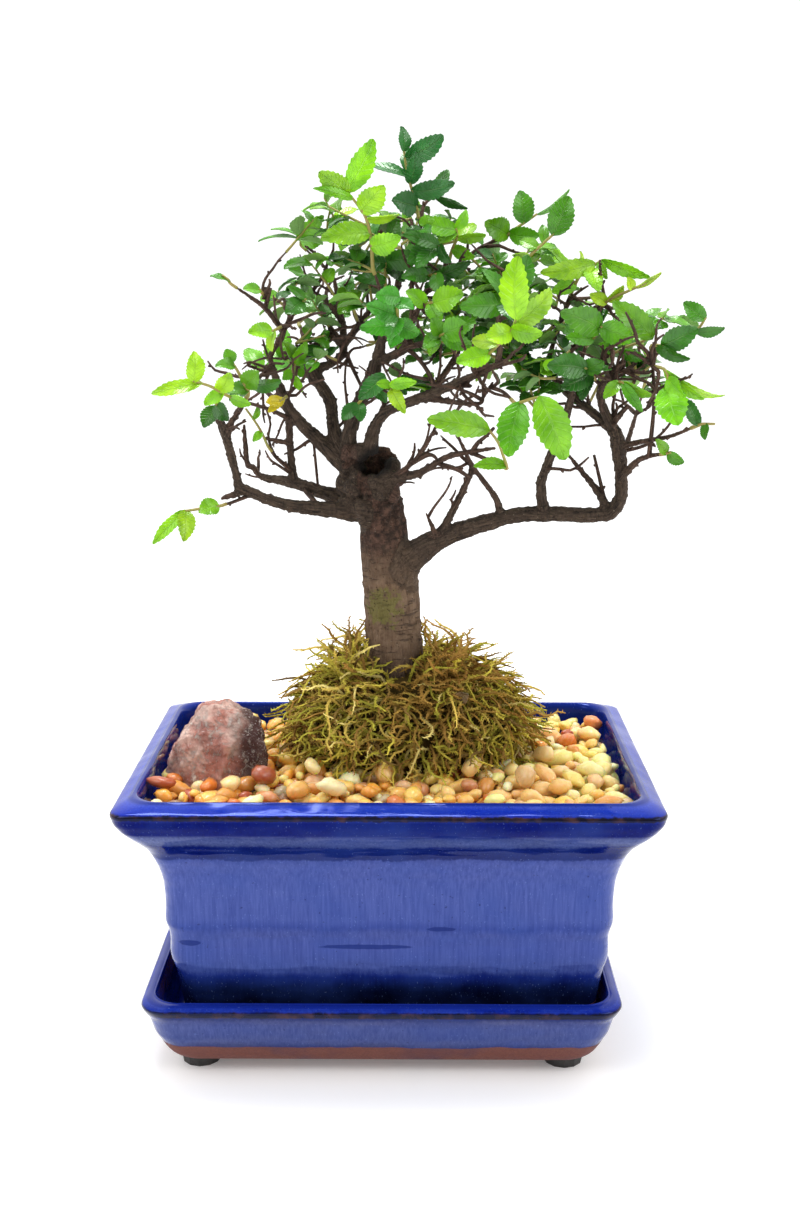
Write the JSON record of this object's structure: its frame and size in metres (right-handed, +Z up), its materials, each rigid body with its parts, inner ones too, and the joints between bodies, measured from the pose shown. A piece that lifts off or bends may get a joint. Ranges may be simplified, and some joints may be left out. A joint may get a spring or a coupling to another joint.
{
  "type": "potted bonsai tree",
  "caption": "Small elm bonsai with forking woody branches and leafy shoots, moss, gravel and a rough stone, in a flared glazed pot on a matching saucer with rubber feet.",
  "frame": {"origin": "middle of the whole object's box on the floor, under the rubber feet", "axes": "+Z up, +X to the right along the pot's long side, +Y away from the pictured front"},
  "size_m": [0.1748, 0.1114, 0.2761],
  "materials": {
    "cobalt_glaze": "gloss",
    "foot_rubber": "matte",
    "potting_soil": "matte",
    "pea_gravel": "satin",
    "rough_rock": "matte",
    "sheet_moss": "matte",
    "elm_bark": "matte",
    "leaf_lime": "satin",
    "leaf_mid": "satin",
    "leaf_dark": "satin"
  },
  "bodies": {
    "root": {"pad_front_left": "foot_rubber", "pad_front_right": "foot_rubber", "pad_back_left": "foot_rubber", "pad_back_right": "foot_rubber", "saucer": "cobalt_glaze", "pot": "cobalt_glaze", "soil": "potting_soil", "gravel": "pea_gravel", "rock": "rough_rock", "moss": "sheet_moss", "wood": "elm_bark", "shoot_top": "leaf_dark", "shoot_top_left": "leaf_lime", "shoot_top_left_low": "leaf_dark", "shoot_left_fan": "leaf_mid", "shoot_left_arrow": "leaf_mid", "shoot_far_tip": "leaf_dark", "shoot_far_pair": "leaf_mid", "shoot_left_pair": "leaf_lime", "shoot_left_dark": "leaf_dark", "shoot_left_lime": "leaf_lime", "shoot_left_lime_up": "leaf_mid", "shoot_left_shade": "leaf_dark", "shoot_left_under": "leaf_dark", "shoot_low_tip": "leaf_lime", "shoot_thin_lime": "leaf_lime", "shoot_yellow": "leaf_lime", "shoot_hanging": "leaf_lime", "shoot_inner_left": "leaf_mid", "shoot_gloss": "leaf_lime", "shoot_blue_leaf": "leaf_dark", "shoot_bent": "leaf_lime", "shoot_crown_mid": "leaf_dark", "shoot_crown_lime": "leaf_lime", "shoot_arch": "leaf_dark", "shoot_crown_dark": "leaf_dark", "shoot_right_top": "leaf_mid", "shoot_right_top_b": "leaf_mid", "shoot_front_lime": "leaf_lime", "shoot_front_shade": "leaf_dark", "shoot_round_lime": "leaf_lime", "shoot_round_mid": "leaf_mid", "shoot_pair_front": "leaf_mid", "shoot_bud": "leaf_lime", "shoot_right_big": "leaf_mid", "shoot_right_long": "leaf_mid", "shoot_right_tip": "leaf_dark", "shoot_right_yellow": "leaf_lime", "shoot_right_lime": "leaf_lime", "shoot_right_droop": "leaf_lime", "shoot_right_end": "leaf_dark", "shoot_right_low": "leaf_mid", "shoot_right_mid": "leaf_mid", "shoot_right_mass": "leaf_dark", "shoot_back_top": "leaf_mid", "shoot_back_middle": "leaf_dark", "shoot_back_right": "leaf_mid", "shoot_back_left": "leaf_dark", "shoot_back_low": "leaf_mid"}
  },
  "joints": []
}
